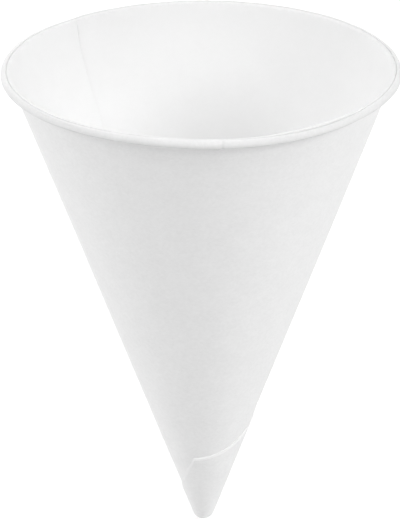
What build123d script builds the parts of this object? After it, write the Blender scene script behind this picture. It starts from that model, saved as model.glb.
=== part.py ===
from build123d import *
from math import asin, atan2, cos, degrees, hypot, radians, sin, tan
import os

# Cone paper cup: one sheet of paper wound into a cone, glued where it laps itself, and curled
# outward at the mouth into a small roll.
# All sizes are in millimetres, and angles are in degrees.
# The cup is wound mouth up about Z, with Z = 0 at the middle of the roll, and laid down at the end.
# Angles round the cup grow anticlockwise as seen from the mouth, and 0 is the side that faces -Y.

# Overall sizes
mouth_diameter = 71.0  # outside of the roll
cup_height = 89.2  # top of the roll to the end of the tip
paper = 0.25  # thickness of the sheet

# Rolled rim. The curl is drawn with short flats, which keeps the mesh of so thin a ring small.
roll_diameter = 1.8
roll_gap = 0.05  # clear space between the roll's tail and the back of the wall
crest_flats = 6  # of them from the inner face over the top to the outermost point
curl_flats = 14  # along the whole curl

# Closed tip
tip_radius = 2.0  # rounding of the tip over all its layers
tip_layers = 2.5  # layers of paper in the wall beside the tip, on average round it
tip_floor = 2.4  # solid end of the tip, measured along the axis

# Edges of the flat sheet, measured from the point that becomes the tip
seam_angle = 222.2  # where the inner edge runs straight down the inside of the cup
lap_width = 19.22  # the outer edge passes the tip's point at this distance
lap_slant = -1.24  # between the outer edge and the inner edge below it, under 0 where the lap widens upwards
flap_corner = 123.1  # corner where the outer edge turns into the tail edge
tail_width = 8.14  # the tail edge passes the tip's point at this distance

# How it lies
rest_angle = 194.0  # side that lies on the table, about the heaviest, where the sheet laps itself
roll_press = 0.4  # how far the soft roll is pressed in there
tip_press = 0.12  # how far the tip is

# The wall leans so that its inner face is tangent to the roll, and its outer face, with the layers
# of the flap on it, is tangent to the rounded tip.
roll_radius = roll_diameter / 2
roll_centre = mouth_diameter / 2 - roll_radius
tip_end = roll_radius - cup_height
tip_centre = tip_end + tip_radius
reach = hypot(roll_centre, tip_centre)
lean = degrees(
    atan2(roll_centre, -tip_centre)
    - asin((roll_radius + tip_radius - tip_layers * paper) / reach)
)
slope = tan(radians(lean))
step = paper / cos(radians(lean))  # thickness of the wall measured level
inner_foot = roll_centre - roll_radius / cos(radians(lean))  # inner face at Z = 0
apex = -(inner_foot + step) / slope  # height at which the outer face of one layer would meet the axis
shrink = sin(radians(lean))  # angle on the flat sheet for one degree round the cup


def inner_radius(height):
    return inner_foot + height * slope


def polar(centre, radius, angle):
    """Point of a section at an angle from its X axis."""
    return centre + Vector(radius * cos(radians(angle)), radius * sin(radians(angle)))


def roll_curve(depth):
    """Points along the roll, at a depth under the face that lines the cup.

    The sheet goes over the top and down the outside at one radius, then tightens until it passes
    behind the wall.
    """
    points = []
    for flat in range(curl_flats + 1):
        turned = flat * (180 - lean) / crest_flats
        tightened = min(max(turned - 180, 0) / 180, 1) * (paper + roll_gap)
        points.append(polar(Vector(roll_centre, 0), roll_radius - tightened - depth, 180 - lean - turned))
    return points


def rolled_section():
    """Section of one layer of the wall with the roll at its top."""
    inner_end = Vector(inner_radius(tip_end), tip_end)
    outer_end = inner_end + Vector(step, 0)
    return make_face(
        Polyline(inner_end, *roll_curve(0), *reversed(roll_curve(paper)), outer_end, close=True)
    )


def plain_section(top):
    """Section of one layer of the wall that stops below the roll."""
    low = inner_radius(tip_end)
    high = inner_radius(top)
    return make_face(
        Polyline((low, tip_end), (high, top), (high + step, top), (low + step, tip_end), close=True)
    )


def side(angle, distance=1.0):
    """Level vector that points at an angle round the cup."""
    return Vector(distance * sin(radians(angle)), -distance * cos(radians(angle)))


def turn_centre(turn):
    """Centre of a half turn. Every second one is shifted, so the wound sheet grows by one layer a turn."""
    return side(seam_angle, step / 2) if turn % 2 else Vector()


def wind(section, turn):
    """Half a turn of the sheet, counted from the inner edge outwards."""
    start = seam_angle + 180 * (turn % 2 - 1)
    swept = revolve(Plane.XZ * Pos(turn * step / 2, 0) * section, Axis.Z, 180)
    return Pos(*turn_centre(turn)) * Rot(0, 0, start - 90) * swept


def on_cup(along, across, foot, turn, out):
    """Point of a straight edge of the flat sheet after winding.

    along and across place it on the sheet, from the foot of the line drawn to the edge from the
    tip's point, foot is the flat angle of that line, and out is the distance off the layer.
    """
    slant = hypot(along, across)
    angle = (foot + degrees(atan2(along, across))) / shrink
    radius = slant * sin(radians(lean)) + turn * step / 2 + out * cos(radians(lean))
    height = apex + slant * cos(radians(lean)) - out * sin(radians(lean))
    return turn_centre(turn) + side(angle, radius) + Vector(0, 0, height)


def beyond_edge(across, foot, turn, first, last):
    """Space above a straight edge of the sheet, to be cut from a half turn of the winding."""
    count = 16
    places = [first + (last - first) * index / count for index in range(count + 1)]
    marks = [index / count for index in range(count + 1)]
    near, far = [
        Edge.make_spline([on_cup(along, across, foot, turn, out) for along in places], parameters=marks)
        for out in (-2 * paper, mouth_diameter / 2)
    ]
    return extrude(Face.make_surface_from_curves(near, far), cup_height, dir=(0, 0, 1))


# The outer edge runs from the rim down to the flap's corner, and the tail edge from there round the tip.
edge_bend = 180 - flap_corner
outer_foot = seam_angle * shrink - 90 + lap_slant
tail_foot = outer_foot - edge_bend
corner_outer = (lap_width * cos(radians(edge_bend)) - tail_width) / sin(radians(edge_bend))
corner_tail = (lap_width - tail_width * cos(radians(edge_bend))) / sin(radians(edge_bend))
sheet_length = hypot(roll_centre, apex)


def make_cup():
    lap_top = (roll_radius - paper) * sin(radians(lean))
    flap_top = apex + 1.5 * lap_width * cos(radians(lean))
    inner = wind(rolled_section(), 0)
    second = wind(rolled_section(), 1)
    lap = wind(plain_section(lap_top), 2)
    lap -= beyond_edge(lap_width, outer_foot, 2, 0, sheet_length)
    flap = wind(plain_section(flap_top), 3)
    flap -= beyond_edge(lap_width, outer_foot, 3, corner_outer - lap_width / 2, lap_width)
    flap -= beyond_edge(tail_width, tail_foot, 3, -tail_width, corner_tail + lap_width / 2)
    return inner, second, lap, flap


def make_tip():
    """Solid end that closes the tip, inside the layers."""
    floor = tip_end + tip_floor
    low, high = [inner_radius(height) + 1.5 * step for height in (tip_end, floor)]
    face = make_face(Polyline((0, tip_end), (low, tip_end), (high, floor), (0, floor), close=True))
    return revolve(Plane.XZ * face, Axis.Z)


def around_tip():
    """Space round the rounded tip."""
    touch = polar(Vector(0, tip_centre), tip_radius, -lean)
    edge = mouth_diameter / 2
    under = tip_end - tip_radius
    outline = [
        CenterArc((0, tip_centre), tip_radius, -90, 90 - lean),
        Line(touch, (edge, touch.Y)),
        Line((edge, touch.Y), (edge, under)),
        Line((edge, under), (0, under)),
        Line((0, under), (0, tip_end)),
    ]
    return revolve(Plane.XZ * make_face(Curve() + outline), Axis.Z)


def on_table():
    """Placing with the resting side down, where the roll and the tip give a little under the weight."""
    tip_height = tip_radius - tip_press
    tilt = atan2(roll_centre, -tip_centre) - asin((tip_height - roll_radius + roll_press) / reach)
    lift = Pos(0, 0, tip_height - tip_centre * sin(tilt))
    return lift * Rot(degrees(tilt) - 90, 0, 0) * Rot(0, 0, 180 - rest_angle)


def flatten(cup):
    """Flatten what lies on the table. The paper of the roll keeps its thickness there."""
    width = 4 * mouth_diameter
    layer = Pos(0, 0, paper / 2) * Box(width, width, paper)
    table = Pos(0, 0, -width / 2) * Box(width, width, width)
    inside_roll = on_table() * Torus(roll_centre, roll_radius - paper / 2)
    return cup + (inside_roll & layer) - table


def centred(cup):
    middle = cup.bounding_box().center()
    return Pos(-middle.X, -middle.Y, 0) * cup


inner, second, lap, flap = make_cup()
paper_cone = inner + second + lap + flap + make_tip() - around_tip()
paper_cone = centred(flatten(on_table() * paper_cone))

os.makedirs("parts", exist_ok=True)
export_step(paper_cone, "parts/paper_cone.step")
print("lean", lean, "apex", apex, "volume", paper_cone.volume, "solids", len(paper_cone.solids()))
print("box", paper_cone.bounding_box().size)
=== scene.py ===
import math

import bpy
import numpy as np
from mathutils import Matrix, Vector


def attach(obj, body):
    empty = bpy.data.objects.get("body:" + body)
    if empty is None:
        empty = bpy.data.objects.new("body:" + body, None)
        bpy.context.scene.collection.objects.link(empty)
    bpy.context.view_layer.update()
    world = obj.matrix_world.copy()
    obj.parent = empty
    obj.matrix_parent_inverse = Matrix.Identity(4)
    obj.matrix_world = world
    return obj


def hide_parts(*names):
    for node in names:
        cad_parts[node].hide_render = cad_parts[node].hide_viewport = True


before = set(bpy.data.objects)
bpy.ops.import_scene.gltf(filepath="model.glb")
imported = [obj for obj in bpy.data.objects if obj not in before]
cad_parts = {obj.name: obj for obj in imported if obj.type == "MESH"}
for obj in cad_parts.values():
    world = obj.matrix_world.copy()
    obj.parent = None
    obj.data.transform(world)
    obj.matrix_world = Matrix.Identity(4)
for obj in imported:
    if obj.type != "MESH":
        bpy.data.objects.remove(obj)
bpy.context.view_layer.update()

# %% [markdown]
# # A cone paper cup
#
# The cup is one piece of paper. A flat fan-shaped sheet is wound a little under twice round a cone,
# glued where it laps itself, and its upper edge is curled outward into a small hollow roll.
# The CAD model already has the true size and the true section. What it lacks is what the eye reads
# as paper: a smooth roll, thin cut edges that catch the light, the faint unevenness of a sheet that
# was wound and pressed, and its fibres.
#
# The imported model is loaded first, so that everything below can be set against it.

# %% [markdown]
# ## One set of sizes
#
# The cup could be modelled as it lies, but a cone is far easier to describe in its own frame: mouth
# up, with height zero at the middle of the roll. The same named sizes as in the CAD source are used,
# in millimetres and degrees, and a single matrix lays the finished mesh on the table.
#
# The wall leans so that its inner face is tangent to the roll, and its outer face, with the layers
# of the flap on it, is tangent to the rounded tip. The rest of the section follows from that.

# %% Sizes of the cup
MM = 0.001
mouth_diameter = 71.0  # outside of the roll
cup_height = 89.2  # top of the roll to the end of the tip
paper = 0.25  # thickness of the sheet
roll_radius = 0.9
roll_gap = 0.05  # clear space between the roll's tail and the back of the wall
tip_radius = 2.0
tip_layers = 2.5  # layers of paper beside the tip, on average round it
tip_floor = 2.4  # solid end of the tip, measured along the axis
seam_angle = 222.2  # side on which the inner edge runs down the inside
lap_width = 19.22  # the outer edge passes the tip's point at this distance
lap_slant = -1.24  # between the outer edge and the inner edge below it
flap_corner = 123.1  # corner where the outer edge turns into the tail edge
tail_width = 8.14  # the tail edge passes the tip's point at this distance

tip_end = roll_radius - cup_height
roll_centre = mouth_diameter / 2 - roll_radius
tip_centre = tip_end + tip_radius
reach = math.hypot(roll_centre, tip_centre)
roll_bearing = math.atan2(roll_centre, -tip_centre)
lean = roll_bearing - math.asin((roll_radius + tip_radius - tip_layers * paper) / reach)
step = paper / math.cos(lean)  # thickness of the wall measured level
inner_foot = roll_centre - roll_radius / math.cos(lean)  # inner face at height zero
apex = -(inner_foot + step) / math.tan(lean)  # where the outer face of one layer would meet the axis
print("the wall leans", round(math.degrees(lean), 3), "degrees")

# %% [markdown]
# ## From the cup's frame to the table
#
# A cone cup can't stand on its tip. Put down, it rolls until its heaviest side, the lapped one, is
# underneath, with the tip and a short stretch of the roll on the table. Two turns and a lift say
# that. The CAD model is centred on its box, so the mesh gets the same two shifts across and along
# the table.

# %% Lay the cup down
rest_angle = 194.0  # side that lies on the table
roll_press = 0.4  # how far the soft roll is pressed in there
tip_press = 0.12  # how far the tip is
shift_across = 0.0995
shift_along = 34.6447

tip_height = tip_radius - tip_press
tilt = roll_bearing - math.asin((tip_height - roll_radius + roll_press) / reach)
lay_down = (
    Matrix.Translation((shift_across, shift_along, tip_height - tip_centre * math.sin(tilt)))
    @ Matrix.Rotation(tilt - math.pi / 2, 4, "X")
    @ Matrix.Rotation(math.pi - math.radians(rest_angle), 4, "Z")
)
lay_turn = np.array(lay_down.to_3x3())
lay_shift = np.array(lay_down.to_translation())


def on_table(points):
    """Points of the cup's frame as points of the table's frame, both in millimetres."""
    return points @ lay_turn.T + lay_shift


print("end of the tip in mm:", on_table(np.array([0.0, 0.0, tip_end])).round(2))

# %% [markdown]
# ## The sheet's outline on the cone
#
# The layers are told apart by a winding angle. It starts at the inner edge of the sheet and falls by
# 360 for each full turn, so the same side of the cup has several winding angles, one for each layer
# there.
#
# A straight edge of a flat sheet isn't straight once the sheet is wound, but it stays simple in the
# flat: its distance from the point that becomes the tip is its nearest distance divided by a cosine.
# One degree round the cup is sin(lean) of a degree on the sheet, so each edge is one formula.
#
# The inner edge runs straight down the inside. The outer edge slants across the back of the cup
# to a corner near the tip, and the tail edge runs from that corner round the tip.

# %% Edges of the sheet
shrink = math.sin(lean)
edge_bend = math.radians(180 - flap_corner)
outer_foot = seam_angle * shrink - 90 + lap_slant
tail_foot = outer_foot - math.degrees(edge_bend)
corner_along = (lap_width * math.cos(edge_bend) - tail_width) / math.sin(edge_bend)
corner_angle = (outer_foot + math.degrees(math.atan2(corner_along, lap_width))) / shrink
first_angle = seam_angle + 360
last_angle = seam_angle - 360
wall_top = -0.2  # height of the wall's last row, where the lap ends inside the roll
wall_reach = (wall_top - apex) / math.cos(lean)
lap_end_angle = (outer_foot + math.degrees(math.acos(lap_width / wall_reach))) / shrink
print("the outer edge leaves the roll at", round(lap_end_angle, 1), "and turns at", round(corner_angle, 1))


def edge_slant(winding):
    """Angle on the flat sheet between a column and the line drawn square to the edge that ends it."""
    foot = outer_foot if winding >= corner_angle else tail_foot
    return math.radians(winding * shrink - foot)


def edge_reach(winding):
    """Distance from the sheet's tip to the outer edge or the tail edge, along a column."""
    width = lap_width if winding >= corner_angle else tail_width
    return width / math.cos(edge_slant(winding))


# %% [markdown]
# ## How the layers lie on each other
#
# Each full turn of the sheet has to end one layer further out than it began. A spiral does that, but
# none of its turns is round. As in the CAD source, half turns of a circle are used instead. The
# first keeps its radius. The next is half a layer larger and shifted by half a layer, so it starts
# flush and ends one layer further out. The cosine below is that shift, seen from the axis.

# %% Growth of the winding
def layer_offset(winding):
    """How far the sheet lies outside its innermost layer, measured level."""
    wound = first_angle - winding
    swing = (1 + math.cos(math.radians(winding - seam_angle))) / 2
    if wound <= 180:
        return 0.0
    if wound <= 360:
        return step * swing
    if wound <= 540:
        return step
    return step * (1 + swing)


offsets = [round(layer_offset(first_angle - 180 * turn), 3) for turn in range(5)]
print("offsets in mm after each half turn:", offsets)

# %% [markdown]
# ## Columns
#
# The mesh is a grid, as the weave of a cloth is. Columns run from the tip to the roll, and rows run
# round. A Screw modifier could sweep such a grid, but then every layer would be a perfect cone of
# its own. Written out, the layers nest exactly, and an edge can end where the real one ends.
#
# The columns are even, apart from close ones beside the inner edge and round the small notch in the
# roll, and those on the slanted outer edge, which divide that edge into equal lengths.

# %% Winding angles of the columns
def spread(start, end, count):
    """Even steps from start to end, without start."""
    return list(np.linspace(start, end, count + 1)[1:])


pressed_strip = 3.4  # degrees beside the inner edge in which the sheet was pressed thin
beside_edge = [first_angle - turn for turn in (0, 0.3, 0.7, 1.3, 2.2, pressed_strip)]

notch_side = 5.5  # side of the cup on which the roll has its notch
notch_winding = notch_side + 360
clear_of_notch = 1.6
round_notch = [notch_winding + turn for turn in (-1.5, -0.9, -0.55, -0.3, 0, 0.3, 0.55, 0.9, 1.5)]
even = spread(first_angle - pressed_strip, seam_angle + 0.6, 190)
even = [winding for winding in even if abs(winding - notch_winding) > clear_of_notch]
rolled = beside_edge + sorted(even + round_notch, reverse=True) + [seam_angle + 0.25, seam_angle]

lapped = spread(seam_angle, lap_end_angle, 15)
edge_top = wall_reach * math.sin(edge_slant(lap_end_angle))
on_outer_edge = [
    (outer_foot + math.degrees(math.atan2(place, lap_width))) / shrink
    for place in spread(edge_top, corner_along, 110)
]
tail = spread(corner_angle, last_angle, 66)
columns = rolled + lapped + on_outer_edge + tail
print(len(columns), "columns,", len(rolled), "of them with the roll")

# %% [markdown]
# ## Rows
#
# Each column has a short dome at the tip, a straight wall, and on the rolled part a curl. The rows
# are close where light shows the form: just under the roll, beside a cut edge, and over the outer
# part of the curl. The inside of the curl is hidden, so its rows are wide apart.

# %% Rows of the dome, the wall and the curl
dome_rise = 2.193  # from the end of the tip to the centre of the innermost dome
dome_bottom = -88.5  # degrees, a little short of straight down, so that the dome has no pole
dome_centre = tip_end + dome_rise
dome_radius = (inner_foot + dome_centre * math.tan(lean)) * math.cos(lean)
dome_turns = np.radians(np.linspace(dome_bottom, -math.degrees(lean), 9, endpoint=False))

under_roll = 0.94  # share of the wall above which its rows are closer
low_shares = np.linspace(0, under_roll, 54, endpoint=False)
high_shares = np.linspace(under_roll, 1, 9, endpoint=False)
wall_shares = np.concatenate([low_shares, high_shares])
edge_steps = np.array([0.55, 0.34, 0.16, 0.05, 0.0])  # distances of the last rows from a cut edge
roll_start = len(dome_turns) + len(wall_shares) + len(edge_steps)

seen_turns = np.arange(0, 126, 3.0)
under_turns = np.arange(126, 300, 9.0)
hidden_turns = np.arange(300, 391, 15.0)
curl_turns = np.concatenate([seen_turns, under_turns, hidden_turns])
print("rows:", len(dome_turns), "dome,", roll_start - len(dome_turns), "wall,", len(curl_turns), "curl")

# %% [markdown]
# ## Soft shapes from two curves
#
# Apart from its cut edges, nothing on pressed paper starts or stops sharply. A step with an even
# turn at both ends and a rounded hump are enough for all that follows: the tool's line, the dents,
# the droop and the shading. A Displace modifier with a texture could move the paper too, but these
# two put each form exactly where it belongs.

# %% A soft step and a hump
def smooth(value, low, high):
    """0 below low and 1 above high, with an even turn at both ends."""
    t = np.clip((value - low) / (high - low), 0, 1)
    return t * t * (3 - 2 * t)


def hump(value, place, width):
    """1 at a place, falling off evenly on both sides of it."""
    return np.exp(-(((value - place) / width) ** 2))


def side_of(winding):
    """Side of the cup at a winding angle, from -180 to 180. 0 faces the camera."""
    return (winding + 180) % 360 - 180


print("a soft step at a quarter, a half and three quarters:", smooth(np.array([0.25, 0.5, 0.75]), 0, 1))

# %% [markdown]
# ## The curl
#
# The sheet goes over the top and down the outside at one radius, then tightens until it passes
# behind the wall. The tool that curled it left a shallow line along the roll's crest. Left and right
# of the front that line lies further out. The roll is a little fuller at the front right, and a
# little smaller just beside the seam, where the inner layer is missing.
#
# A round profile swept along a circle would be quicker, but such a roll looks like wire.

# %% Curl the top of the sheet
line_turn = 60  # how far the sheet has curled, in degrees, where the tool left its line
line_shifts = [(36, 42, 24), (-42, 27, 26)]  # side of the cup, degrees further out there, width
line_depth = 0.17
line_width = 7.5
fuller_by = 0.11
fuller_at = (34, 14)  # side of the cup and width
smaller_by = 0.6 * paper
smaller_for = 26  # degrees beside the seam over which the roll grows again


def tool_line(winding):
    """How far the sheet has curled where the tool left its line."""
    side = side_of(winding)
    return line_turn + sum(further * hump(side, place, width) for place, further, width in line_shifts)


def directions(angles):
    """Unit vectors of a section, as rows of (radius, height)."""
    return np.stack([np.cos(angles), np.sin(angles)], axis=1)


def curl(winding):
    """Both faces of the roll in one column, as rows of (radius, height)."""
    smaller = smaller_by * (1 - smooth(winding, seam_angle, seam_angle + smaller_for))
    radius = roll_radius - smaller + fuller_by * hump(side_of(winding), *fuller_at)
    centre = np.array([inner_foot + layer_offset(winding) + radius / math.cos(lean), 0])
    tightened = np.clip((curl_turns - 180) / 180, 0, 1.2) * (paper + roll_gap)
    tightened = tightened + line_depth * hump(curl_turns, tool_line(winding), line_width)
    arms = directions(math.pi - lean - np.radians(curl_turns))
    return [centre + (radius - tightened - depth)[:, None] * arms for depth in (0, paper)]


line_range = round(float(tool_line(180))), round(float(tool_line(36)))
print("the tool's line lies from", line_range[0], "to", line_range[1], "degrees into the curl")

# %% [markdown]
# ## The section of one column
#
# The dome and the curl are tangent to the wall, so the section has no kink. Every point has a
# partner on the sheet's other face, one thickness of paper away. The thickness falls off in the
# last half millimetre before the outer edge and the tail edge, as a blade leaves it, and that soft
# corner catches the light. The inner edge was pressed into the layer outside it when the cup was
# glued. It is thinnest low down and stands out more near the mouth, where it shows as a faint line.

# %% Build one column
along_wall = np.array([math.sin(lean), math.cos(lean)])
off_wall = np.array([math.cos(lean), -math.sin(lean)])
blunt = 0.4  # share of the thickness that is left at a cut edge
pressed_low = 0.1  # share that is left at the inner edge, low down
pressed_high = 0.5  # and near the mouth
short_column = 0.3  # most of a short column that the rows beside its edge may take


def thickness_near(distance):
    """Thickness of the paper at a distance from a cut edge."""
    return paper * (blunt + (1 - blunt) * np.sqrt(np.clip(distance / edge_steps[0], 0, 1)))


def pressed_share(winding, along):
    """Share of the thickness that is left beside the inner edge."""
    least = pressed_low + (pressed_high - pressed_low) * smooth(along, 80, 92)
    return least + (1 - least) * ((first_angle - winding) / pressed_strip) ** 0.8


def build_column(winding, has_roll):
    """Both faces of one column as rows of (radius, height), and the rows' distances up the wall."""
    radius = dome_radius + layer_offset(winding) * math.cos(lean)
    top = (wall_top - dome_centre + radius * math.sin(lean)) / math.cos(lean)
    stretch = 1.0
    if winding < lap_end_angle:
        top = edge_reach(winding) - (dome_centre - apex) * math.cos(lean)
        stretch = 1 / math.cos(edge_slant(winding))
    close = np.minimum(edge_steps * stretch, top * edge_steps / edge_steps[0] * short_column)
    run = np.concatenate([wall_shares * (top - close[0]), top - close])
    thick = np.full(len(run), paper)
    if not has_roll:
        thick[-len(close):] = thickness_near(close / stretch)
    centre = np.array([0, dome_centre])
    wall = centre + run[:, None] * along_wall + radius * off_wall
    inner = [centre + radius * directions(dome_turns), wall]
    outer = [centre + (radius + paper) * directions(dome_turns), wall + thick[:, None] * off_wall]
    along = [np.zeros(len(dome_turns)), run]
    if has_roll:
        inner_curl, outer_curl = curl(winding)
        inner.append(inner_curl)
        outer.append(outer_curl)
        along.append(top + np.radians(curl_turns) * roll_radius)
    inner, outer, along = [np.concatenate(stretches) for stretches in (inner, outer, along)]
    if winding > first_angle - pressed_strip:
        inner = outer + (inner - outer) * pressed_share(winding, along)[:, None]
    return inner, outer, along


along = build_column(notch_winding, True)[2]
print("the wall ends", round(along[roll_start - 1], 2), "mm up and the curl", round(along[-1], 2))

# %% [markdown]
# ## Life in the wall
#
# A perfect cone looks like plastic. Real paper keeps a trace of its winding: long shallow waves that
# run down the wall, of a few hundredths of a millimetre. They depend only on the place on the cup
# and not on the layer, so that the layers still lie on each other.
#
# Two moves belong to an edge alone. The flap's corner stands off a little, as glue never reaches it,
# and the inner edge bulges a little to one side below the mouth.

# %% Waves, the flap's corner and the inner edge
wall_waves = [  # height, how many round the cup, where they start, how they turn up the wall
    (0.05, 3, 0.0, 0.05),
    (0.035, 5, 1.9, -0.03),
    (0.012, 11, 0.4, 0.11),
    (0.008, 17, 2.2, -0.19),
]
corner_stand = 0.06
corner_spread = 3.0
corner_radius = 7.0  # of the cup near the flap's corner, to turn degrees into millimetres
corner_up = math.hypot(lap_width, corner_along) - (dome_centre - apex) * math.cos(lean)
bow_turn = 0.9  # degrees


def waves(side, along):
    """Outward move of the wall, which fades towards the tip and the roll."""
    a = math.radians(side)
    total = 0
    for height, count, start, twist in wall_waves:
        total = total + height * np.sin(count * a + start + twist * along)
    return total * smooth(along, 4, 30) * (1 - smooth(along, 82, 91))


def corner_lift(winding, along):
    """Outward move of the flap round its corner."""
    round_cup = math.radians(winding - corner_angle) * corner_radius
    return corner_stand * hump(round_cup, 0, corner_spread) * hump(along, corner_up, corner_spread)


def edge_bow(winding, along):
    """Degrees by which the inner edge bulges past its straight line, a little below the mouth."""
    beside = max(0, 1 - (first_angle - winding) / pressed_strip)
    return bow_turn * beside * smooth(along, 74, 81) * (1 - smooth(along, 88, 93))


print("the flap's corner is", round(corner_up, 1), "mm up the wall")

# %% [markdown]
# ## Life in the roll
#
# The roll is where a cup is handled. This one has one sharp notch at the front with a swelling beside
# it, four faint wrinkles, and a ripple too low to see as such, which breaks up the light on it. The
# roll is set in by as much as the ripple rises, and so stays inside its true outline. The notch is
# only in its outer part.
#
# The sheet wasn't cut quite true either, so the rim hangs half a millimetre lower at the front right.

# %% Dents, ripple and droop of the roll
notch_depth = 0.13
notch_width = 0.4
soft_dents = [  # side of the cup, depth, width. The first stands out instead
    (3.0, -0.07, 2.4),
    (-22.5, 0.06, 0.9),
    (28.2, 0.06, 1.0),
    (71.0, 0.04, 1.4),
    (158.0, 0.03, 1.2),
]
ripples = [(0.012, 23, 0.0), (0.01, 37, 1.0)]  # height, how many round the cup, where they start
ripple_inset = sum(height for height, count, start in ripples)
rim_droop = 0.54
droop_at = (14, 25)  # side of the cup and width


def dents(side, along):
    """Inward move of the roll."""
    a = math.radians(side)
    total = notch_depth * hump(side, notch_side, notch_width) * smooth(along, 93.3, 94.1)
    total = total + sum(depth * hump(side, place, width) for place, depth, width in soft_dents)
    total = total + sum(height * math.sin(count * a + start) for height, count, start in ripples)
    return (total + ripple_inset) * smooth(along, 92.0, 93.5)


def droop(side, along):
    """How far the rim hangs lower, measured down the wall."""
    return rim_droop * hump(side, *droop_at) * smooth(along, 60, 88)


print("the rim hangs", round(float(droop(0, 95)), 2), "mm lower at the front")

# %% [markdown]
# ## Painted shade and light
#
# White paper in soft light hardly shows its form, because light bounces about in every hollow and
# fills it. So the shade of the real cup is painted on: in the tool's line along the crest, under
# the roll, in the fold where it turns back to the wall, in the notch, beside the step of the inner
# edge, on the right side of the roll and at the end of the tip. The outside of the roll and the
# border of the tail edge are a little darker too. One number on each point says how much shade is
# painted there, and the material reads it. A vertex group would hold it too, but can't go below
# zero, and the wall right under the roll has painted light at the front, which narrows the roll's
# shadow there.

# %% Painted shade and light of one column
painted_line_shade = 0.17  # painted shade in the tool's line along the crest
painted_line_shade_width = 6
painted_under_shade = 0.06  # painted shade on the underside of the roll
painted_fold_shade = 0.17  # painted shade where the roll turns back to the wall
# Painted shade in the notch.
painted_notch_shade = 0.05
roll_outside_shade = 0.02  # darker all along the outside of the roll
painted_right_shade = 0.065  # painted shade added at the right side of the roll, where less light falls
painted_right_shade_at = (92, 32)  # side of the cup and width
painted_seam_shade = 0.02  # painted shade beside the step of the inner edge
painted_light_under_roll = 0.06  # painted light on the wall under the roll
painted_light_at = (3, 30)
painted_tip_shade = 0.3  # painted shade at the end of the tip
tail_shade = 0.07  # beside the tail edge


def painted_shade_of_roll(winding):
    """Painted shade along the curl, and its darker outside."""
    line = painted_line_shade * hump(curl_turns, tool_line(winding), painted_line_shade_width)
    under = painted_under_shade * smooth(curl_turns, 115, 185)
    fold = painted_fold_shade * smooth(curl_turns, 191, 200)
    in_notch = painted_notch_shade * hump(winding, notch_winding, notch_width) * smooth(curl_turns, 120, 150)
    roll_outside_and_painted_right_shade = roll_outside_shade + painted_right_shade * hump(side_of(winding), *painted_right_shade_at)
    return line + under + fold + in_notch + roll_outside_and_painted_right_shade * smooth(curl_turns, 20, 50)


def paint_shade_and_light(winding, along, has_roll):
    """Painted shade on the inner and on the outer face of a column, and painted light where it is below
    zero.
    """
    inner = np.zeros(len(along))
    if has_roll:
        # Painted shade along the curl.
        inner[roll_start:] = painted_shade_of_roll(winding)
        # Painted shade beside the step of the inner edge.
        inner += painted_seam_shade * (1 - smooth(first_angle - winding, 0.2, 1.0)) * smooth(along, 55, 88)
    # Painted light on the wall under the roll, at the front.
    painted_light_band = smooth(along, 88.2, 89.8) * (1 - smooth(along, 90.6, 91.5))
    outer = -painted_light_under_roll * hump(side_of(winding), *painted_light_at) * painted_light_band
    # Painted shade at the end of the tip.
    outer[:len(dome_turns)] = painted_tip_shade * smooth(-np.degrees(dome_turns), 35, 65)
    if winding < corner_angle:
        outer[-len(edge_steps):] += tail_shade
    return inner, outer


print("shade along the curl at the front:", painted_shade_of_roll(360)[::12].round(3))

# %% [markdown]
# ## Put a column in its place
#
# The moves are added in the flat section, square to the wall or, on the roll, away from the roll's
# middle. Then the section is turned to its side of the cup and laid down. What would sink into the
# table is lifted onto it, both faces together, which makes the flat spots on which the cup lies.

# %% Place one column
def turned(section, winding):
    """Points of a section (radius, height), turned to their side of the cup."""
    a = np.radians(winding)
    return np.stack([section[:, 0] * np.sin(a), -section[:, 0] * np.cos(a), section[:, 1]], axis=1)


def place_column(winding, has_roll):
    """Both faces of one column on the table, and the rows' distances up the wall."""
    inner, outer, along = build_column(winding, has_roll)
    side = side_of(winding)
    outward = np.tile(off_wall, (len(inner), 1))
    if has_roll:
        arms = inner[roll_start:] - np.array([roll_centre, 0])
        outward[roll_start:] = arms / np.linalg.norm(arms, axis=1)[:, None]
    move = waves(side, along) - dents(side, along) + corner_lift(winding, along)
    moved = move[:, None] * outward - droop(side, along)[:, None] * along_wall
    place = winding + edge_bow(winding, along)
    faces = [on_table(turned(face + moved, place)) for face in (inner, outer)]
    lift = np.maximum(-np.minimum(faces[0][:, 2], faces[1][:, 2]), 0)
    for face in faces:
        face[:, 2] += lift
    return faces, along


print("first point of the first column in mm:", place_column(columns[0], True)[0][0][0].round(2))

# %% Wind the sheet
# Each column brings its points and their painted shade and light.
face_points, face_painted_shade_and_light, row_counts = [], [], []
for index, winding in enumerate(columns):
    has_roll = index < len(rolled)
    faces, along = place_column(winding, has_roll)
    face_points += faces
    face_painted_shade_and_light += paint_shade_and_light(winding, along, has_roll)
    row_counts.append(len(along))
sheet_points = np.concatenate(face_points)
sheet_painted_shade_and_light = np.concatenate(face_painted_shade_and_light)
print(len(sheet_points), "points, up to", sheet_points[:, 2].max().round(2), "mm above the table")

# %% [markdown]
# ## Two faces and their rim
#
# The cells of the grid are made twice, once for each face of the sheet. Wherever a cell's side has
# no neighbour, a narrow strip joins the two faces: that is the cut edge of the paper. Finding the
# strips this way closes the sheet round all its edges at once, whatever their outline. A Solidify
# modifier would close a sheet too, but here both faces are already known.
#
# Each cell also gets its kind of paper: the calm inside, the felted outside, or the bare fibre of a
# cut, whiter than the faces and with a painted highlight, which goes on over the thinned border of the
# outer face.

# %% Join the columns
OUTSIDE, CUT_EDGE, INSIDE = range(3)


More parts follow.
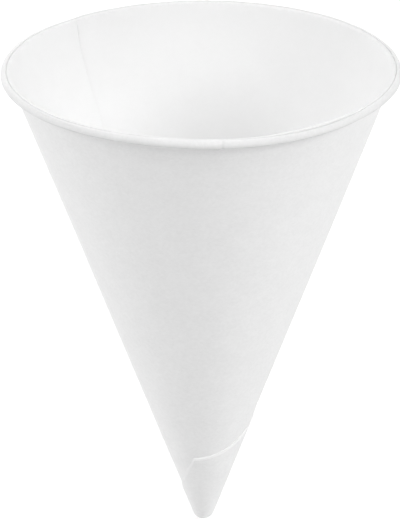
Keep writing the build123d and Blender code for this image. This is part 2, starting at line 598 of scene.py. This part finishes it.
def join_columns():
    """Cells of both faces, the strips of cut edge between them, and the kind of paper of each."""
    starts = [2 * sum(row_counts[:column]) for column in range(len(row_counts))]
    cells, kinds, sides = [], [], {}
    for column in range(len(row_counts) - 1):
        for row in range(min(row_counts[column], row_counts[column + 1]) - 1):
            corners = [(column, row), (column + 1, row), (column + 1, row + 1), (column, row + 1)]
            here = [starts[c] + r for c, r in corners]
            there = [starts[c] + row_counts[c] + r for c, r in corners]
            cells += [here, there[::-1]]
            thinned = column >= len(rolled) and row >= row_counts[column] - len(edge_steps)
            kinds += [INSIDE if row < roll_start else OUTSIDE, CUT_EDGE if thinned else OUTSIDE]
            for one, two in ((0, 1), (1, 2), (2, 3), (3, 0)):
                key = (min(here[one], here[two]), max(here[one], here[two]))
                strip = [here[two], here[one], there[one], there[two]]
                sides[key] = None if key in sides else strip
    strips = [strip for strip in sides.values() if strip]
    print(len(cells), "cells and", len(strips), "cells of cut edge")
    return cells + strips, kinds + [CUT_EDGE] * len(strips)


sheet_cells, cell_papers = join_columns()

# %% [markdown]
# ## The piece
#
# The mesh rides on the cup's one body and stands for its one CAD node. It is shaded smooth, apart
# from edges sharper than 38 degrees, which are the cuts of the paper.

# %% Make the sheet
sharp_from = math.radians(38)


def make_piece(name, points, cells):
    """A smooth piece of paper, from points in millimetres."""
    mesh = bpy.data.meshes.new(name)
    mesh.from_pydata((points * MM).tolist(), [], cells)
    mesh.validate()
    mesh.shade_smooth()
    mesh.set_sharp_from_angle(angle=sharp_from)
    piece = bpy.data.objects.new(name, mesh)
    bpy.context.collection.objects.link(piece)
    print(name, "has", len(mesh.polygons), "faces")
    return piece


sheet = make_piece("cup_sheet", sheet_points, sheet_cells)
sheet.data.polygons.foreach_set("material_index", cell_papers)
# Painted shade and light, one number on each point.
sheet.data.attributes.new("painted_shade_and_light", "FLOAT", "POINT").data.foreach_set("value", sheet_painted_shade_and_light)
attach(sheet, "root")
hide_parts("paper_cone")

# %% [markdown]
# ## The closed end
#
# The innermost point of a wound cone would leak. On the real cup the paper is crushed and glued
# there into a short solid end. It is a small turned form of its own, whose side stays hidden inside
# the layers of the wall, so that only its floor is seen at the bottom of the cup.

# %% Turn the solid end
floor_height = tip_end + tip_floor
floor_radius = inner_foot + floor_height * math.tan(lean) + 0.5 * step
floor_dish = 0.15  # how far the floor dips in its middle
end_radius = dome_radius + 0.5 * paper
end_drop = 0.002  # how far the point that closes the dome lies under its last ring
end_sides = 40

end_profile = [(end_radius * math.cos(t), dome_centre + end_radius * math.sin(t)) for t in dome_turns[1:]]
for share in (1.0, 0.75, 0.5, 0.25):
    end_profile.append((floor_radius * share, floor_height - floor_dish * (1 - share**2)))
rings = [turned(np.array(end_profile), 360 * k / end_sides) for k in range(end_sides)]
poles = np.array([[0, 0, end_profile[0][1] - end_drop], [0, 0, floor_height - floor_dish]])

rows = len(end_profile)
end_cells = []
for k in range(end_sides):
    one = k * rows
    two = (k + 1) % end_sides * rows
    end_cells += [(one + r, two + r, two + r + 1, one + r + 1) for r in range(rows - 1)]
    end_cells += [(end_sides * rows, two, one), (end_sides * rows + 1, one + rows - 1, two + rows - 1)]

solid_end = make_piece("tip_end", on_table(np.concatenate(rings + [poles])), end_cells)
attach(solid_end, "root")
print("floor radius", round(floor_radius, 2), "mm")

# %% [markdown]
# ## Shader maths as plain expressions
#
# A material's pattern is arithmetic on numbers that change over the surface. Wired by hand, even a
# short formula takes many lines. A small class that wraps a socket lets the formula be written as
# such: each operator adds the Math node that it stands for.

# %% A socket that can be added and multiplied
class Field:
    """A number that changes over a surface: one output socket of a node."""

    def __init__(self, nodes, socket):
        self.nodes = nodes
        self.socket = socket

    def maths(self, operation, first, second):
        return self.nodes.add("ShaderNodeMath", {"operation": operation}, {0: first, 1: second})

    def __add__(self, other):
        return self.maths("ADD", self, other)

    def __radd__(self, other):
        return self.maths("ADD", other, self)

    def __sub__(self, other):
        return self.maths("SUBTRACT", self, other)

    def __rsub__(self, other):
        return self.maths("SUBTRACT", other, self)

    def __mul__(self, other):
        return self.maths("MULTIPLY", self, other)

    def __rmul__(self, other):
        return self.maths("MULTIPLY", other, self)


# %% A method for every other node
class Nodes:
    """The nodes of one material or of the world."""

    def __init__(self, owner):
        owner.use_nodes = True
        self.tree = owner.node_tree
        self.tree.nodes.clear()

    def add(self, kind, settings, sockets, output=0):
        """A new node: its settings first, then the values or links of its sockets."""
        node = self.tree.nodes.new(kind)
        for name, value in settings.items():
            setattr(node, name, value)
        for name, value in sockets.items():
            if isinstance(value, Field):
                self.tree.links.new(value.socket, node.inputs[name])
            else:
                node.inputs[name].default_value = value
        return Field(self, node.outputs[output]) if len(node.outputs) else None


# %% [markdown]
# ## Paper
#
# Uncoated paper is nearly white and almost perfectly matt. Close up it is a felt of fibres, cloudy
# where they lie thicker. Three noises give that: a soft cloud a few millimetres across, a mottle
# under a millimetre, and a fine stretched noise for single fibres. The last two also lift the
# surface a little. All change the colour by only a few parts in a hundred: more would look like
# stone. The painted shade on the points of the mesh is taken off the same brightness, and the painted
# light added to it.
#
# An image of scanned paper would be quicker, but it would repeat, and it would need the sheet
# unrolled. Noise in the object's own space goes through all the layers and has no seam.

# %% Paper material
cloud_scale = 260  # noises for each metre
spot_scale = 1500
fibre_scale = 1800
fibre_turn = (0.4, 0.2, 0.9)
fibre_squeeze = (1, 4, 1)
fibre_share = 0.6  # of the mottle's strength
spot_relief = 0.8  # of the fibres' height
relief_height = 0.04 * MM


def paper_material(name, white, cloud, mottle, relief):
    """Matt paper. white is its brightness, and cloud and mottle are shares of it."""
    material = bpy.data.materials.new(name)
    nodes = Nodes(material)
    place = nodes.add("ShaderNodeTexCoord", {}, {}, "Object")
    squeeze = {"Vector": place, "Rotation": fibre_turn, "Scale": fibre_squeeze}
    squeezed = nodes.add("ShaderNodeMapping", {}, squeeze)

    def noise(scale, detail, where=place):
        sockets = {"Vector": where, "Scale": scale, "Detail": detail, "Roughness": 0.6}
        return nodes.add("ShaderNodeTexNoise", {}, sockets, "Fac") - 0.5

    clouds = noise(cloud_scale, 2)
    spots = noise(spot_scale, 3)
    fibres = noise(fibre_scale, 2, squeezed)
    # Painted shade and light from the mesh's points, taken off the paper's own tone.
    painted_shade_and_light = nodes.add("ShaderNodeAttribute", {"attribute_name": "painted_shade_and_light"}, {}, "Fac")
    tone_with_painted_shade_and_light = 1 - painted_shade_and_light + clouds * cloud + spots * mottle + fibres * (fibre_share * mottle)
    tinted = nodes.add("ShaderNodeVectorMath", {"operation": "SCALE"}, {0: (white,) * 3, "Scale": tone_with_painted_shade_and_light})
    height = fibres + spots * spot_relief
    lifted = {"Height": height, "Strength": relief, "Distance": relief_height}
    bump = nodes.add("ShaderNodeBump", {}, lifted)
    surface = nodes.add("ShaderNodeBsdfPrincipled", {}, {
        "Base Color": tinted, "Roughness": 0.88 + spots * 0.1, "Normal": bump,
        "IOR": 1.4, "Specular IOR Level": 0.3,
    })
    nodes.add("ShaderNodeOutputMaterial", {}, {"Surface": surface})
    print(name, "has", len(nodes.tree.nodes), "nodes")
    return material


# %% [markdown]
# ## Three kinds of paper
#
# The outside keeps the felt of the sheet. The cut edge is the same stock without its smooth face, so
# it scatters more light, and its extra white is also a painted highlight where the edge catches the
# light. The inside was smoothed on the cone that the sheet was wound round, and is calmer. Their
# order is that of the numbers which the cells of the sheet already have.

# %% Give the pieces their paper
paper_looks = {
    "paper_face": {"white": 0.88, "cloud": 0.05, "mottle": 0.11, "relief": 0.4},
    # Whiter than the faces: bare fibre and a painted highlight.
    "paper_cut_edge_and_highlight": {"white": 0.955, "cloud": 0.0, "mottle": 0.05, "relief": 0.5},
    "paper_inside": {"white": 0.88, "cloud": 0.03, "mottle": 0.025, "relief": 0.12},
}
for name, look in paper_looks.items():
    sheet.data.materials.append(paper_material(name, **look))
solid_end.data.materials.append(sheet.data.materials[OUTSIDE])

# %% [markdown]
# ## Camera
#
# The cup is seen from a little above its mouth by a long lens, so its outline hardly tapers with
# distance. The direction is worked out in the cup's own frame, where it is simply so many degrees
# above the mouth's plane, and then laid down with the cup. On the table this is a camera that
# looks down.

# %% Place the camera
camera_rise = 23.051
camera_roll = math.radians(-0.289)
camera_distance = 800  # millimetres, as is all in the cup's frame
look_at = Vector((-0.50, 0.0, -36.29))
focal_pixels = 4431.3  # focal length in pixels of the picture
picture_height = 519
film_height = 36  # Blender lays a camera's film width along the longer side of the picture


def direction(rise, side):
    """Direction in the cup's frame, by degrees above the mouth's plane and round the cup."""
    level = math.cos(math.radians(rise))
    a = math.radians(side)
    return Vector((level * math.sin(a), -level * math.cos(a), math.sin(math.radians(rise))))


toward = direction(camera_rise, 0)
spot = (lay_down @ (look_at + camera_distance * toward)) * MM
back = (lay_down.to_3x3() @ toward).normalized()
right = (lay_down.to_3x3() @ Vector((1, 0, 0))).normalized()
up = back.cross(right)
turned_right = right * math.cos(camera_roll) + up * math.sin(camera_roll)
turned_up = back.cross(turned_right)
axes = Matrix((turned_right, turned_up, back)).transposed()

camera_data = bpy.data.cameras.new("camera")
camera_data.sensor_width = film_height
camera_data.lens = focal_pixels * film_height / picture_height
camera_data.clip_start = 0.05
camera_data.clip_end = 20
camera = bpy.data.objects.new("camera", camera_data)
camera.matrix_world = Matrix.Translation(spot) @ axes.to_4x4()
bpy.context.collection.objects.link(camera)
bpy.context.scene.camera = camera
print("camera at", [round(v, 3) for v in spot], "with a lens of", round(camera_data.lens, 1), "mm")

# %% [markdown]
# ## Table
#
# White on white is shown by light alone. The table is a pale ground that glows by itself, so it
# stays clear of shadows and lights the cup from below, as a sheet of lit opal glass does in a
# product studio. It lies a hair under the cup, so that the two never share a surface.

# %% Glowing table
table_half = 4.0  # metres
table_gap = 0.02 * MM
table_glow = 0.82

corners = [(x * table_half, y * table_half, 0) for x, y in ((-1, -1), (1, -1), (1, 1), (-1, 1))]
table_mesh = bpy.data.meshes.new("table")
table_mesh.from_pydata(corners, [], [(0, 1, 2, 3)])
table = bpy.data.objects.new("table", table_mesh)
table.location.z = -table_gap
bpy.context.collection.objects.link(table)

table_material = bpy.data.materials.new("table_top")
nodes = Nodes(table_material)
glass = nodes.add("ShaderNodeBsdfPrincipled", {}, {
    "Base Color": (0.3, 0.3, 0.3, 1), "Roughness": 1.0,
    "Emission Color": (1, 1, 1, 1), "Emission Strength": table_glow,
})
nodes.add("ShaderNodeOutputMaterial", {}, {"Surface": glass})
table.data.materials.append(table_material)
print("table", 2 * table_half, "m wide, glow", table_glow)

# %% [markdown]
# ## Sky
#
# The sky is bright only in a low band round the horizon and almost dark overhead, where the camera
# is. So the wall is darkest along its middle and brighter towards both outlines.
#
# The Standard view keeps the whites as the lights make them. A film-like one would grey them.

# %% Low bright sky
sky_even = 0.02
sky_low = 0.4
sky_fall = 4  # how fast the band fades with height: it ends a quarter of the way up

world = bpy.data.worlds.new("studio")
bpy.context.scene.world = world
nodes = Nodes(world)
ray = nodes.add("ShaderNodeTexCoord", {}, {}, "Generated")
height = nodes.add("ShaderNodeSeparateXYZ", {}, {"Vector": ray}, "Z")
low_band = nodes.add("ShaderNodeMath", {"operation": "MAXIMUM"}, {0: 1 - sky_fall * height, 1: 0.0})
strength = sky_even + low_band * sky_low
sky = nodes.add("ShaderNodeBackground", {}, {"Color": (1, 1, 1, 1), "Strength": strength})
nodes.add("ShaderNodeOutputWorld", {}, {"Surface": sky})
bpy.context.scene.view_settings.view_transform = "Standard"
print("sky:", round(sky_even + sky_low, 2), "at the horizon,", sky_even, "overhead")

# %% [markdown]
# ## Softboxes
#
# Seven square lights stand round the cup at arm's length, aimed at its middle and unseen by the
# camera. They are placed in the cup's own frame, as the camera is, and each is named after where it
# stands. Light adds up, so the cup was first rendered with one light at a time, from many places.
# The lights least needed for the real cup's tones were then dropped, one after another, until
# seven were left. How bright each one is was fitted to those tones as well.
#
# The strongest one lights the wall from beyond the tip. Five stand above the mouth's plane, so that
# light falls into the cup and its inside is the brightest part.

# %% Lights round the cup
box_size = 0.26  # metres
box_distance = 0.7
aim = Vector((0, 0, 0.03))
softboxes = {  # how bright each one's surface is, degrees above the mouth's plane, side of the cup
    "box_tip_middle": (8.6, -30, 0),
    "box_low_right": (2.9, -30, 72),
    "box_mouth_left": (6.25, 30, -72),
    "box_top_right": (5.82, 30, 54),
    "box_mouth_right": (4.32, 30, 72),
    "box_over_top": (4.21, 45, 0),
    "box_over_mouth": (5.09, 60, 0),
}
for name, (glow, rise, side) in softboxes.items():
    place = box_distance * (lay_down.to_3x3() @ direction(rise, side))
    lamp = bpy.data.lights.new(name, "AREA")
    lamp.shape = "SQUARE"
    lamp.size = box_size
    lamp.energy = glow * math.pi * box_size**2
    box = bpy.data.objects.new(name, lamp)
    box.location = place
    box.rotation_euler = (place - aim).to_track_quat("Z", "Y").to_euler()
    box.visible_camera = False
    bpy.context.collection.objects.link(box)
print(len(softboxes), "softboxes, the last at", [round(v, 2) for v in place])
